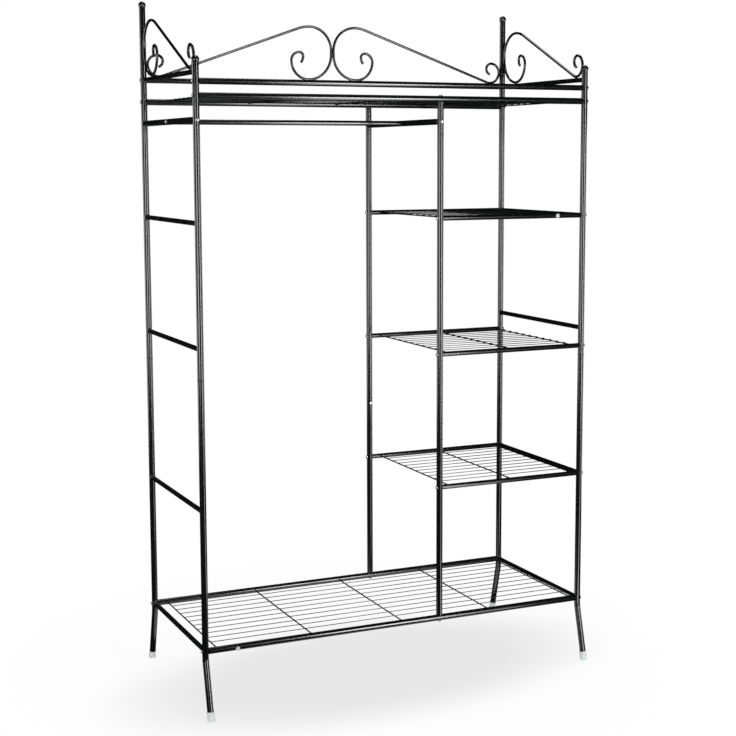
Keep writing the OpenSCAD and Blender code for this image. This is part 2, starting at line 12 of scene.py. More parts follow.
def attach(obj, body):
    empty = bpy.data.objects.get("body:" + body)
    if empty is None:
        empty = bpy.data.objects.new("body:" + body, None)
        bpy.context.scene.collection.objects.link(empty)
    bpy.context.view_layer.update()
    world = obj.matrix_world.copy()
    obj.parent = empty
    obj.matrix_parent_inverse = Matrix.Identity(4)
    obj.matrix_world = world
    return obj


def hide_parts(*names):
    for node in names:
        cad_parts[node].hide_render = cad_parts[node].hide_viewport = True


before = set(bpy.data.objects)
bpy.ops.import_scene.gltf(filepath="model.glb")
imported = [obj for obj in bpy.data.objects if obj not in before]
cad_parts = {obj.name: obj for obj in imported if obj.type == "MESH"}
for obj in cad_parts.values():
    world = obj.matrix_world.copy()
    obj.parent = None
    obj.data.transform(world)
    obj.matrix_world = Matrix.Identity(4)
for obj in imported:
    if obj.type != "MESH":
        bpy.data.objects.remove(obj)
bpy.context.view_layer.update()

# Lower halves of the corner posts
# Round steel tube, 16 mm with a 1 mm wall, powder-coated black. Each runs straight down to
# just under the base rail and is then bent by 14.5 degrees on a 60 mm former, so that the
# legs lean out to the front and to the back.
post_x, post_y = 525, 216
post_r, post_wall = 8, 1
corners = {
    "left_front": (-post_x, -post_y), "left_back": (-post_x, post_y),
    "right_front": (post_x, -post_y), "right_back": (post_x, post_y),
}
corner_joint, bend_top, bend_r, splay, leg_end = 823, 150, 60, math.radians(14.5), 5
half_bead = 0.8  # The two halves of a post stop at the bead on the sleeve in their joint


def linear(hex_colour):
    """Colour as light: each sRGB channel c becomes ((c + 0.055) / 1.055) to the power 2.4,
    or c / 12.92 where it is very dark."""
    c = np.array([int(hex_colour[i:i + 2], 16) for i in (1, 3, 5)]) / 255
    return (*np.where(c > 0.04045, ((c + 0.055) / 1.055) ** 2.4, c / 12.92), 1)


def add(tree, kind, settings=(), links=()):
    """Adds a shader node. Each setting goes to the input or else the attribute of that
    name, and each link runs from an output socket to the input of that name."""
    node = tree.nodes.new("ShaderNode" + kind)
    for name, value in dict(settings).items():
        if name in node.inputs:
            node.inputs[name].default_value = value
        else:
            setattr(node, name, value)
    for name, source in dict(links).items():
        tree.links.new(source, node.inputs[name])
    return node


def finish(name):
    """A new material, with its node tree and the place on the object that patterns read."""
    material = bpy.data.materials.new(name)
    material.use_nodes = True
    tree = material.node_tree
    tree.nodes.clear()
    place = add(tree, "TexCoord").outputs["Object"]
    return material, tree, place


def show(tree, surface):
    """Sends a surface shader to the material's output."""
    add(tree, "OutputMaterial", links={"Surface": surface})


def skin(tree, waver, colours, roughness, relief, bump, settings):
    """The skin of a moulded, sprayed or plated piece. One noise, waver, mixes two colours
    and two values of the roughness. The noise relief raises it, where bump holds the
    strength and the height in metres. The settings are the shader's own."""
    shade = add(tree, "MixRGB", {"Color1": linear(colours[0]), "Color2": linear(colours[1])},
                {"Fac": waver.outputs["Fac"]})
    gloss = add(tree, "MapRange", {"To Min": roughness[0], "To Max": roughness[1]},
                {"Value": waver.outputs["Fac"]})
    raised = add(tree, "Bump", {"Strength": bump[0], "Distance": bump[1]},
                 {"Height": relief.outputs["Fac"]})
    show(tree, add(tree, "BsdfPrincipled", settings, {
        "Base Color": shade.outputs["Color"], "Roughness": gloss.outputs["Result"],
        "Normal": raised.outputs["Normal"]}).outputs["BSDF"])


# Polyester powder coat, sprayed on steel and baked: near black with a satin gloss, so that
# it mirrors the lamps as soft stripes. The powder flows into an orange peel with a pitch
# of about 1.5 mm, drawn at 2.5 mm so that it shows, and its gloss drifts over a hand's width.
powder_coat, tree, place = finish("baked_black_powder_coat")
peel = add(tree, "TexNoise", {"Scale": 1000 / 2.5, "Detail": 1.5, "Roughness": 0.4},
           {"Vector": place})
drift = add(tree, "TexNoise", {"Scale": 1000 / 80, "Detail": 2.0}, {"Vector": place})
skin(tree, drift, ("#08090a", "#0e0f10"), (0.13, 0.19), peel, (0.022, 0.00005),
     {"IOR": 1.5, "Specular IOR Level": 1.0})


def carried(path, across, s, r, sides):
    """A round section carried along a path: P(s, a) = C(s) + r (cos a N(s) + sin a B). C(s)
    is the point at the length s along the path, T the direction there, B the unit vector
    across, which is square to T, and N = B x T. s and r hold a value for each row, or for
    each row and side."""
    path, across = np.asarray(path, float), np.asarray(across, float)
    run = np.append(0, np.cumsum(np.linalg.norm(np.diff(path, axis=0), axis=1)))
    ahead = np.gradient(path, run, axis=0)
    s, r = (np.broadcast_to(np.reshape(v, (len(v), -1)), (len(v), sides)) for v in (s, r))
    centre, t = (np.stack([np.interp(s, run, c) for c in k.T], -1) for k in (path, ahead))
    n = np.cross(across, t / np.linalg.norm(t, axis=-1, keepdims=True))
    a = (np.arange(sides) * 2 * np.pi / sides)[:, None]
    return centre + r[..., None] * (np.cos(a) * n + np.sin(a) * across)


def tube(path, across, outer, wall, meets=0, ear=0, oval=0):
    """A hollow tube as one closed skin: the outside from end to end, with a small bevel on
    the ends' outer edge, then the inside back to the first row. Where it meets a round tube
    that runs along B, its ends are hollowed: at the angle a they lie sqrt(meets^2 -
    (r cos a)^2) from that tube's axis, and never nearer than ear. A bend presses the
    section flat by the share oval: r becomes r (1 - oval cos 2a)."""
    sides, edge = 40, 0.2
    run = np.append(0, np.cumsum(np.linalg.norm(np.diff(path, axis=0), axis=1)))[:, None]
    a = np.arange(sides) * 2 * np.pi / sides

    def side(radius, inset):
        end = np.sqrt(np.maximum(meets ** 2 - (radius * np.cos(a)) ** 2, ear ** 2)) + inset
        return np.clip(run, end, run[-1] - end)

    flat = 1 - np.reshape(oval, (-1, 1)) * np.cos(2 * a) * np.ones((len(run), 1))
    outside = side(outer, edge)
    inside = side(outer - wall, 0)
    lip = side(outer, 0)
    s = np.concatenate([lip[:1], outside, lip[-1:], inside[::-1], lip[:1]])
    r = np.concatenate([flat[:1] * (outer - edge), flat * outer, flat[-1:] * (outer - edge),
                        flat[::-1] * (outer - wall), flat[:1] * (outer - edge)])
    return carried(path, across, s, r, sides)


def piece(name, skins, material, node):
    """One object made of grids of points in millimetres, each rows x sides x 3 and closed
    round its sides. Points that fall together are merged, which closes poles and seams,
    and the normals are turned outwards. It rides on the rack and stands for the node."""
    points, faces, first = [], [], 0
    for grid in skins:
        number = first + np.arange(grid[..., 0].size).reshape(grid.shape[:2])
        beside = np.roll(number, -1, axis=1)
        loops = np.stack([number[:-1], number[1:], beside[1:], beside[:-1]], -1)
        faces.append(loops.reshape(-1, 4))
        points.append(grid.reshape(-1, 3) / 1000)
        first += number.size
    mesh = bpy.data.meshes.new(name)
    mesh.from_pydata(np.concatenate(points), [], np.concatenate(faces))
    work = bmesh.new()
    work.from_mesh(mesh)
    bmesh.ops.remove_doubles(work, verts=work.verts, dist=1e-6)
    bmesh.ops.recalc_face_normals(work, faces=work.faces)
    work.to_mesh(mesh)
    work.free()
    mesh.shade_smooth()
    mesh.set_sharp_from_angle(angle=math.radians(40))
    mesh.materials.append(material)
    thing = bpy.data.objects.new(name, mesh)
    bpy.context.scene.collection.objects.link(thing)
    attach(thing, "root")
    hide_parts(node)


def leg_path(x, y):
    """Down the post, round the bend by its angle, and out along the leg:
    (bend_r (1 - cos v), bend_top - bend_r sin v) for v from 0 to the splay. A point 1.5
    above the bend keeps the tube straight down to it."""
    v = np.linspace(0, splay, 12)
    bend = np.stack([bend_r * (1 - np.cos(v)), bend_top - bend_r * np.sin(v)])
    last = bend[:, -1] + np.array([np.tan(splay), -1]) * (bend[1, -1] - leg_end)
    out, up = np.column_stack([[0, corner_joint - half_bead], [0, bend_top + 1.5], bend, last])
    return np.stack([np.full_like(out, x), y + np.sign(y) * out, up], -1)


# The former presses the tube flat by 2 percent in the middle of the bend
leg_oval = np.concatenate([[0, 0], 0.02 * np.sin(np.linspace(0, np.pi, 12)), [0]])
for corner, (x, y) in corners.items():
    lower = tube(leg_path(x, y), (1, 0, 0), post_r, post_wall, oval=leg_oval)
    piece(f"lower_post_{corner}", [lower], powder_coat, f"{corner}_post_lower")

# Foot caps
# Soft clear polyethylene caps, moulded and pushed on to the cut ends of the legs. Each has
# a rounded lip, a thicker sole and a flat face that stands level on the floor.
cap_r, cap_bore, cap_l = 9.5, 8.05, 16
sole_row, sole_edge = -2.5, 0.9  # The sole's outer edge is rounded by 0.9 above the floor

# Low-density polyethylene, moulded: milky and a little green-grey, because light goes into
# it and scatters, with a waxy gloss and faint flow marks 6 mm apart.
soft_plastic, tree, place = finish("moulded_milky_polyethylene")
flow = add(tree, "TexNoise", {"Scale": 1000 / 6, "Detail": 2.0}, {"Vector": place})
skin(tree, flow, ("#c3cccb", "#d3dad9"), (0.34, 0.46), flow, (0.2, 0.0001),
     {"IOR": 1.51, "Subsurface Weight": 0.4, "Subsurface Radius": (0.004, 0.004, 0.004),
      "Subsurface Scale": 1.0})

for corner, (x, y) in corners.items():
    leg = leg_path(x, y)
    down = (leg[-1] - leg[-2]) / np.linalg.norm(leg[-1] - leg[-2])
    # From the bore's closed end up to the lip, over it, and down the outside to the sole,
    # as lengths above the leg's end and radii
    up, r = np.array([
        (-0.1, 0), (-0.1, cap_bore), (cap_l - 0.6, cap_bore), (cap_l - 0.2, cap_bore + 0.2),
        (cap_l, cap_bore + 0.6), (cap_l, cap_r - 0.4), (cap_l - 0.3, cap_r - 0.1),
        (cap_l - 0.8, cap_r), (cap_l - 2.4, cap_r), (cap_l - 2.8, cap_r - 0.3), (4, cap_r - 0.35),
        (2, cap_r - 0.1), (0, cap_r), (sole_row, cap_r), (-12, cap_r - 0.2), (-12, cap_r - 1.2),
        (-12, 0)]).T
    sides = 40
    lean = r[:, None] * np.cos(np.arange(sides) * 2 * np.pi / sides) * np.cross((1, 0, 0), down)[2]
    # Below the leg's end each side stops where it reaches the floor: the axis has the
    # height leg_end + up cos(splay), and the side lies higher or lower by its lean
    floor_up = -(leg_end + lean) / math.cos(splay)
    rise = np.maximum(up[:, None], floor_up + np.where(up == sole_row, sole_edge, 0)[:, None])
    base = leg[-1] - down * cap_l
    cap = carried([base, base + down * 2 * cap_l], (1, 0, 0), cap_l - rise, r, sides)
    cap[-1] = cap[-1].mean(0)
    piece(f"foot_cap_{corner}", [cap], soft_plastic, f"{corner}_foot_cap")

# Sleeves in the posts' joints
# Short steel tubes, pushed into both halves of a post and painted with them. A bead rolled
# round the middle stops the halves, and shows as a thin ring on the post.
centre_x, centre_joint = 107, 673
sleeve_half, sleeve_r, sleeve_bore, bead_r = 35, 6.9, 5.9, 0.6
joints = [(x, y, corner_joint) for x, y in corners.values()]
joints += [(centre_x, y, centre_joint) for y in (-post_y, post_y)]
# Up the outside with the bead halfway, at the height half_bead sin v and the radius
# post_r - 0.1 + bead_r cos v, and back down the bore
v = np.linspace(-np.pi / 2, np.pi / 2, 9)
s = np.concatenate([[0, 0, sleeve_half - half_bead], sleeve_half + half_bead * np.sin(v),
                    [sleeve_half + half_bead, 2 * sleeve_half, 2 * sleeve_half, 0]])
r = np.concatenate([[sleeve_bore, sleeve_r, sleeve_r], post_r - 0.1 + bead_r * np.cos(v),
                    [sleeve_r, sleeve_r, sleeve_bore, sleeve_bore]])
piece("joint_rings", [
    carried([(x, y, z - sleeve_half), (x, y, z + sleeve_half)], (1, 0, 0), s, r, 40)
    for x, y, z in joints], powder_coat, "joint_sleeves")

# Upper halves of the corner posts
# The same 16 mm tube, cut square. The back posts stand 161 mm higher than the front ones,
# to carry the scrollwork.
front_top, back_top = 1562, 1723
for corner, (x, y) in corners.items():
    top = front_top if y < 0 else back_top
    upper = tube([(x, y, corner_joint + half_bead), (x, y, top)], (1, 0, 0), post_r, post_wall)
    piece(f"upper_post_{corner}", [upper], powder_coat, f"{corner}_post_upper")

# Ball finials
# Balls of black plastic, 19 mm across, each moulded with a ribbed plug that is pushed into
# the post's end. The moulding leaves a fine parting line round the widest part.
ball_r, parting_h, parting_w = 9.6, 0.12, 0.25
ball_rise = math.sqrt(ball_r ** 2 - post_r ** 2)
plug_l, plug_r, rib_size = 12, 6.75, 0.15

# ABS, moulded against polished steel: black, and glossier than the powder coat, so that
# each ball shows small bright spots. A slight shrinkage makes the spots waver.
ball_plastic, tree, place = finish("moulded_gloss_black_abs")
sink = add(tree, "TexNoise", {"Scale": 1000 / 7, "Detail": 1.0}, {"Vector": place})
skin(tree, sink, ("#0c0d0e", "#121314"), (0.08, 0.14), sink, (0.15, 0.0001),
     {"IOR": 1.54, "Specular IOR Level": 1.0})

for corner, (x, y) in corners.items():
    top = front_top if y < 0 else back_top
    # Round the ball from its top down to the post's end: r = R sin v, height = R cos v,
    # and over the parting line round its middle
    v = np.linspace(0, np.pi - math.asin(post_r / ball_r), 30)
    height, r = ball_rise + ball_r * np.cos(v), ball_r * np.sin(v)
    r += parting_h * np.exp(-((height - ball_rise) / parting_w) ** 2)
    # Then in under the ball and down the plug, whose ribs grip the tube
    rib_h = -np.linspace(0, plug_l, 25)
    rib_r = plug_r + rib_size * np.cos(np.linspace(0, 8 * np.pi, 25))
    height = np.concatenate([height, [0.05, 0.05], rib_h, [-plug_l]])
    r = np.concatenate([r, [post_r - 0.4, plug_r + rib_size], rib_r, [0]])
    ball = carried([(x, y, top - plug_l), (x, y, top + ball_rise + ball_r)], (1, 0, 0),
                   plug_l + height, r, 40)
    piece(f"ball_{corner}", [ball], ball_plastic, f"{corner}_finial")

# Centre posts
# Two 16 mm tubes between the long bay and the shelves. Their ends are hollowed to sit on
# the base rail and under the tray rail, and a screw holds their joint on the inner side.
base_z, tray_z = 162, 1485
# A hollowed end keeps this gap to the tube it meets, and its two points are cut off at the
# distance ear from that tube's axis
seat_gap, ear = 0.1, 6.5
front_and_back = (("front", -post_y), ("back", post_y))
for name, y in front_and_back:
    # Only the outer end of each half is hollowed: the path's other end is pushed out by
    # the same length, and cut off square there
    for half, z0, z1 in (("lower", base_z, centre_joint - half_bead),
                         ("upper", tray_z, centre_joint + half_bead)):
        way = np.sign(z1 - z0)
        past = z1 + way * (post_r + seat_gap)
        post = tube([(centre_x, y, z0), (centre_x, y, past)], (1, 0, 0), post_r, post_wall,
                    meets=post_r + seat_gap, ear=ear)
        post[..., 2] = way * np.minimum(way * post[..., 2], way * z1)
        piece(f"{half}_post_centre_{name}", [post], powder_coat,
              f"centre_{name}_post_{half}")

# Side rails
# Thin 12 mm tubes between a front and a back post, mitred round them and welded. The weld
# bead follows the saddle where the two tubes meet, in small steps of the torch.
guard_z, low_z, high_z = 1540, 505, 1191
side_levels = {"base": base_z, "low": low_z, "middle": 895, "high": high_z, "guard": guard_z}
side_r, rail_wall, weld_r, weld_ripples = 6, 0.9, 1.1, 18
left_and_right = (("left", -post_x), ("right", post_x))


def saddle_bead(place, out, r, onto, thick, ripples):
    """A weld bead along the curve where a tube of radius r meets a post of radius onto:
    C(a) = place + (r cos a, out sqrt(onto^2 - r^2 cos^2 a), r sin a), with a round section
    of radius thick (1 + 0.12 cos(ripples a)), laid out from the curve's own slope."""
    a = np.linspace(0, 2 * np.pi, 73)
    rise = np.sqrt(onto ** 2 - (r * np.cos(a)) ** 2)
    curve = np.stack([r * np.cos(a), out * rise, r * np.sin(a)], -1)
    t = np.gradient(curve, axis=0)
    t[0] = t[-1] = curve[1] - curve[-2]
    t /= np.linalg.norm(t, axis=1, keepdims=True)
    away = np.stack([np.cos(a), np.zeros_like(a), np.sin(a)], -1)
    n = away - (away * t).sum(1, keepdims=True) * t
    n /= np.linalg.norm(n, axis=1, keepdims=True)
    b = np.cross(t, n)
    v = (np.arange(8) * np.pi / 4)[:, None, None]
    size = thick * (1 + 0.12 * np.cos(ripples * a))[:, None]
    return np.moveaxis(place + curve + size * (np.cos(v) * n + np.sin(v) * b), 0, 1)


for side, x in left_and_right:
    for level, z in side_levels.items():
        rail = tube([(x, -post_y, z), (x, post_y, z)], (0, 0, 1), side_r, rail_wall, meets=post_r)
        beads = [saddle_bead((x, y, z), -np.sign(y), side_r + 0.3, post_r, weld_r, weld_ripples)
                 for y in (-post_y, post_y)]
        piece(f"side_rail_{side}_{level}", [rail, *beads], powder_coat,
              f"{side}_{level}_side_rail")

# Long rails
# Tubes between the left and right posts, and between the centre and right posts at the
# shelves. Their ends are hollowed to fit a post, and a bolt through the post draws each
# one tight. The tray and base rails are 16 mm thick, the guards 14 and the shelves' 12.7.
front_guard_z = 1519
shelf_levels = {"low_shelf": low_z, "middle_shelf": 848, "high_shelf": high_z}
deck_rail_r, guard_r, shelf_rail_r = 8, 7, 6.35
rails = [(f"{level}_{side}_rail", -post_x, y, z, deck_rail_r, f"{level}_{side}_rail")
         for level, z in (("tray", tray_z), ("base", base_z)) for side, y in front_and_back]
rails += [("guard_front_rail", -post_x, -post_y, front_guard_z, guard_r, "front_guard_rail"),
          ("guard_back_rail", -post_x, post_y, guard_z, guard_r, "back_guard_rail")]
rails += [(f"{level}_{side}_rail", centre_x, y, z, shelf_rail_r, f"{level}_{side}_rail")
          for level, z in shelf_levels.items() for side, y in front_and_back]
for name, x0, y, z, rail_r, node in rails:
    rail = tube([(x0, y, z), (post_x, y, z)], (0, 0, 1), rail_r, rail_wall,
                meets=post_r + seat_gap, ear=ear)
    piece(name + "_tube", [rail], powder_coat, node)

# Wire grids
# Ten 2 mm wires lie on thicker cross wires of 3.5 mm, spot-welded at each crossing, and
# the cross wires' ends are welded to the front and back rails. All is coated as one piece.
wire_r, cross_r, weld_depth, flare_r, flare_l = 1.0, 1.75, 0.2, 1.1, 0.9
inset_left, inset_right, overhang, margin = 33, 17, 3, 54
spot_size = (1.9, 1.5, 0.55)
grids = {"tray": (-post_x, tray_z, deck_rail_r, 5), "base": (-post_x, base_z, deck_rail_r, 5)}
grids.update({level: (centre_x, z, shelf_rail_r, 3) for level, z in shelf_levels.items()})
wire_ys = np.linspace(margin - post_y, post_y - margin, 10)


def wire(start, end, r):
    """A straight level wire with rounded ends: near an end r sqrt(1 - (1 - s / r)^2)."""
    length = np.linalg.norm(np.subtract(end, start))
    u = np.array([0, 0.13, 0.5, 1])
    s = np.concatenate([u * r, length - u[::-1] * r])
    size = r * np.sqrt(1 - (1 - u) ** 2)
    return carried([start, end], (0, 0, 1), s, np.concatenate([size, size[::-1]]), 10)


def drop(place, size, rows=6, sides=8):
    """A small blob of weld metal: place + size (sin v cos a, sin v sin a, cos v)."""
    v, a = np.meshgrid(np.linspace(0, np.pi, rows), np.arange(sides) * 2 * np.pi / sides,
                       indexing="ij")
    ball = np.stack([np.sin(v) * np.cos(a), np.sin(v) * np.sin(a), np.cos(v)], -1)
    return np.asarray(place, float) + np.asarray(size, float) * ball


for name, (x0, z, rail_r, crosses) in grids.items():
    cross_xs = np.linspace(x0 + inset_left, post_x - inset_right, crosses)
    wire_z = z + cross_r + wire_r - weld_depth
    end = post_y - math.sqrt(rail_r ** 2 - cross_r ** 2)
    wire_x0, wire_x1 = cross_xs[0] - overhang, cross_xs[-1] + overhang
    skins = [wire((wire_x0, y, wire_z), (wire_x1, y, wire_z), wire_r) for y in wire_ys]
    # A cross wire flares into its welds at both ends: r + flare_r exp(-s / flare_l)
    s = np.array([0, 0, 0.5, 1, 1.6, 2.4, 3.6])
    flare = np.append(0, cross_r + flare_r * np.exp(-s[1:] / flare_l))
    along, size = np.concatenate([s, 2 * end - s[::-1]]), np.concatenate([flare, flare[::-1]])
    for x in cross_xs:
        skins.append(carried([(x, -end, z), (x, end, z)], (0, 0, 1), along, size, 14))
        skins += [drop((x, y, z + cross_r - 0.1), spot_size) for y in wire_ys]
    piece(f"wire_grid_{name}", skins, powder_coat, f"{name}_grid")

# Crossbars and clothes rod
# A 15 mm tube bolted between the posts at each end of the hanging bay, and a 13 mm rod
# bolted between the two, halfway from front to back, for the hangers.
rod_z, crossbar_r, rod_r = 1430, 7.5, 6.5
for name, x in (("left", -post_x), ("centre", centre_x)):
    bar = tube([(x, -post_y, rod_z), (x, post_y, rod_z)], (0, 0, 1), crossbar_r, rail_wall,
               meets=post_r + seat_gap, ear=ear)
    piece(f"hanging_crossbar_{name}", [bar], powder_coat, f"{name}_crossbar")
rod = tube([(-post_x, 0, rod_z), (centre_x, 0, rod_z)], (0, 1, 0), rod_r, rail_wall,
           meets=crossbar_r + seat_gap)
piece("hanger_rod", [rod], powder_coat, "clothes_rod")

# Scrollwork
# Four lengths of 7 mm round steel wire, bent cold round pegs into a crest, a large curl
# and a small one, and welded where they touch the guard rails, the posts and each other.
scroll_r, touch, crest_r, slope_r = 3.5, 3.6, 62, 100
back_crest, side_crest, large_r, small_r = 143, 139, 66, 29
# Radius and degrees of each bend, round the large curl and at the end of the small one
large_bends = [(large_r, 90), (49, 90), (23, 90), (11, 90), (24, 43)]
small_bends = [(25, 90), (15, 165)]
upright_weld = 70  # Height of the weld on the upright stretch beside the large curl


def bends(centre, start, arcs):
    """Arcs that follow on from each other: c + r (cos v, sin v), where each next centre
    is c + (r - next r) (cos v, sin v) at the angle v where the arc before it ends. A wide
    arc has a point about every 4 degrees, a tight one about every 7."""
    points, centre, v0 = [], np.asarray(centre, float), math.radians(start)
    for i, (r, turn) in enumerate(arcs):
        step = 4 if r > 40 else 7
        v = v0 + np.linspace(0, math.radians(turn), max(4, round(turn / step)))
        arc = centre + r * np.stack([np.cos(v), np.sin(v)], -1)
        points.append(arc if i == 0 else arc[1:])
        v0 = v[-1]
        if i + 1 < len(arcs):
            centre = centre + (r - arcs[i + 1][0]) * np.array([np.cos(v0), np.sin(v0)])
    return np.concatenate(points)


def scroll(span, crest_h, at):
    """The bent wire between two lines that are span apart: the small curl's tip, the long
    slope that touches both it and the crest's arc, the crest, and the large curl. at turns
    (along, up) into a place."""
    slope_centre = np.array([touch + crest_r, crest_h - slope_r])
    small_centre = np.array([span - touch - small_r, touch + small_r])
    step = small_centre - slope_centre
    both = slope_r + small_r
    fall = math.degrees(math.atan2(both, math.sqrt(step @ step - both ** 2))
                        - math.atan2(step[1], step[0]))
    small = bends(small_centre, 270 - fall, [(small_r, 90 + fall), *small_bends])
    crest = bends(slope_centre, 90 - fall, [(slope_r, fall), (crest_r, 90)])
    large = bends((touch + large_r, touch + large_r), 180, large_bends)
    flat = np.concatenate([small[::-1], crest, large])
    path = at(flat[:, 0], flat[:, 1])
    # The curl at the start gives the plane that the whole wire lies in
    across = np.cross(path[5] - path[0], path[9] - path[5])
    run = np.append(0, np.cumsum(np.linalg.norm(np.diff(path, axis=0), axis=1)))
    # The cut ends have a small rounded edge
    s = np.concatenate([[0, 0, 0.15, 0.5], run[1:-1], run[-1] - np.array([0.5, 0.15, 0, 0])])
    r = np.concatenate([[0, 3, 3.35], np.full(len(run), scroll_r), [3.35, 3, 0]])
    return carried(path, across / np.linalg.norm(across), s, r, 20)


def welds(at, places):
    """A blob of weld metal at each (along, up), with its own size."""
    return [drop(at(np.array(u), np.array(w)), size, 8, 12) for u, w, size in places]


back_rail_top, side_rail_top = guard_z + guard_r, guard_z + side_r
back_span, side_span = post_x - post_r, 2 * (post_y - post_r)
for name, way in (("left", -1), ("right", 1)):
    def at(u, w):
        return np.stack([way * u, np.full_like(u, post_y), back_rail_top + w], -1)
    places = [(touch + large_r, 0.3, (4.5, 2.6, 1.4)),
              (back_span - touch - small_r, 0.3, (4, 2.4, 1.4)),
              (back_span - 0.3, touch + small_r, (1.3, 2.6, 4))]
    # One weld joins the two wires of the back in the middle of the rack
    if way == 1:
        places.append((0.0, touch + upright_weld, (1.3, 2.4, 9)))
    piece(f"scroll_back_{name}", [scroll(back_span, back_crest, at), *welds(at, places)],
          powder_coat, f"back_{name}_scroll")
for name, x in left_and_right:
    def at(u, w):
        return np.stack([np.full_like(u, x), post_y - post_r - u, side_rail_top + w], -1)
    places = [(touch + large_r, 0.3, (2.6, 4.5, 1.4)),
              (side_span - touch - small_r, 0.3, (2.4, 4, 1.4)),
              (0.3, touch + upright_weld, (2.4, 1.3, 8))]
    piece(f"scroll_side_{name}", [scroll(side_span, side_crest, at), *welds(at, places)],
          powder_coat, f"{name}_side_scroll")

# Bolts
# M5 bolts with low round heads and a hexagon socket, cold-headed and zinc-plated. They go
# through the posts into the inserts in the rails' ends, and are done up with a hexagon key.
head_r, head_h, rim_h, shank_r, bolt_l = 4.5, 2.6, 0.7, 2.5, 30
socket_r, socket_floor, drill_point = 1.7, 1.4, 1.2

# Bright zinc on steel, passivated: pale blue-white metal with fine plating grain, which
# takes a soft sheen rather than a mirror's. The grain is drawn at 0.8 mm so that it shows.
zinc, tree, place = finish("bright_zinc_plate")
grain = add(tree, "TexNoise", {"Scale": 1000 / 0.8, "Detail": 2.0}, {"Vector": place})
skin(tree, grain, ("#bfc4ca", "#d6d9dc"), (0.24, 0.36), grain, (0.2, 0.00005), {"Metallic": 1.0})


def bolt(axis, way, across, seat, length=bolt_l):
    """A bolt from the outside in: round the socket's floor, up its six walls, over the low
    dome and down to the seat, then along the shank. The socket's radius at the angle a is
    R cos 30 / cos(30 - (a mod 60)). The dome runs from the top at the height head_h to the
    rim at rim_h: the radius head_r sin(90 h), the height head_h - (head_h - rim_h) h^3."""
    sides, lead = 24, 3
    a = np.degrees(np.arange(sides) * 2 * np.pi / sides)
    six = socket_r * math.cos(math.radians(30)) / np.cos(np.radians(30 - a % 60))
    rows = [(-drill_point, 0), (-socket_floor, six), (0.05 - head_h, six), (-head_h, six + 0.25)]
    rows += [((head_h - rim_h) * h ** 3 - head_h, head_r * math.sin(h * math.pi / 2))
             for h in np.linspace(0.35, 1, 6)]
    rows += [(0, head_r), (0, shank_r), (length - 0.6, shank_r), (length, shank_r - 0.6),
             (length, 0)]
    s = np.array([along for along, r in rows]) + lead
    r = np.stack([np.broadcast_to(r, sides) for along, r in rows])
    way = np.asarray(way, float)
    start = np.asarray(axis, float) - way * (seat + seat_gap + lead)
    return carried([start, start + way * s[-1]], across, s, r, sides)


# Each bolt points inwards from the face that it sits on: left, right, front or back
left, right, front, back, upright = (1, 0, 0), (-1, 0, 0), (0, 1, 0), (0, -1, 0), (0, 0, 1)
shelf_zs = list(shelf_levels.values())
rail_places = [((-post_x, -post_y, z), left) for z in (base_z, tray_z, front_guard_z)]
rail_places += [((-post_x, post_y, z), left) for z in (base_z, tray_z, guard_z)]
rail_places += [((post_x, -post_y, z), right) for z in (base_z, tray_z, front_guard_z, *shelf_zs)]
rail_places += [((post_x, post_y, z), right) for z in (base_z, tray_z, guard_z, *shelf_zs)]
rail_places += [((centre_x, y, z), left) for y in (-post_y, post_y) for z in shelf_zs]
piece("rail_bolt_heads", [bolt(place, way, upright, post_r) for place, way in rail_places], zinc,
      "rail_bolts")
cross_places = [((x, y, rod_z), way, post_r) for x in (-post_x, centre_x)
                for y, way in ((-post_y, front), (post_y, back))]
cross_places += [((-post_x, 0, rod_z), left, crossbar_r), ((centre_x, 0, rod_z), right, crossbar_r)]
piece("crossbar_bolt_heads", [bolt(place, way, upright, r) for place, way, r in cross_places], zinc,
      "crossbar_bolts")
# Four bolts hold the centre posts' ends from below and above, and two short screws their joints
joint_screw_z, joint_screw_l = 659, 7
post_skins = [bolt((centre_x, y, z), (0, 0, way), (1, 0, 0), deck_rail_r) for y in (-post_y, post_y)
              for z, way in ((base_z, 1), (tray_z, -1))]
post_skins += [bolt((centre_x, y, joint_screw_z), way, upright, post_r, joint_screw_l)
               for y, way in ((-post_y, back), (post_y, front))]
piece("centre_post_bolt_heads", post_skins, zinc, "centre_post_bolts")

# Threaded inserts
# Zinc-plated steel bushes, pressed into the ends of the rails and tapped for the bolts.
# They stay out of sight in the tubes, so the solids' own shapes serve, in the bolts' zinc.
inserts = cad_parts["threaded_inserts"]
inserts.material_slots[0].link = "OBJECT"
inserts.material_slots[0].material = zinc

# Rail plugs
# Two small pale plastic plugs with a low round head that hugs the rail: one low on the
# front of the base rail, near the left post, one on the front of the top shelf's rail.
plug_inset, plug_tilt, plug_head_r, plug_head_h, plug_stem_r = 80, math.radians(18), 5.5, 1.8, 2

# Polypropylene, moulded: off-white with a silky gloss and a faintly mottled skin.
pale_plastic, tree, place = finish("moulded_pale_polypropylene")
mottle = add(tree, "TexNoise", {"Scale": 1000 / 3, "Detail": 2.0}, {"Vector": place})
skin(tree, mottle, ("#b0b4b3", "#bec1c0"), (0.36, 0.46), mottle, (0.2, 0.00005),
     {"IOR": 1.49, "Subsurface Weight": 0.15, "Subsurface Radius": (0.002, 0.002, 0.002),
      "Subsurface Scale": 1.0})


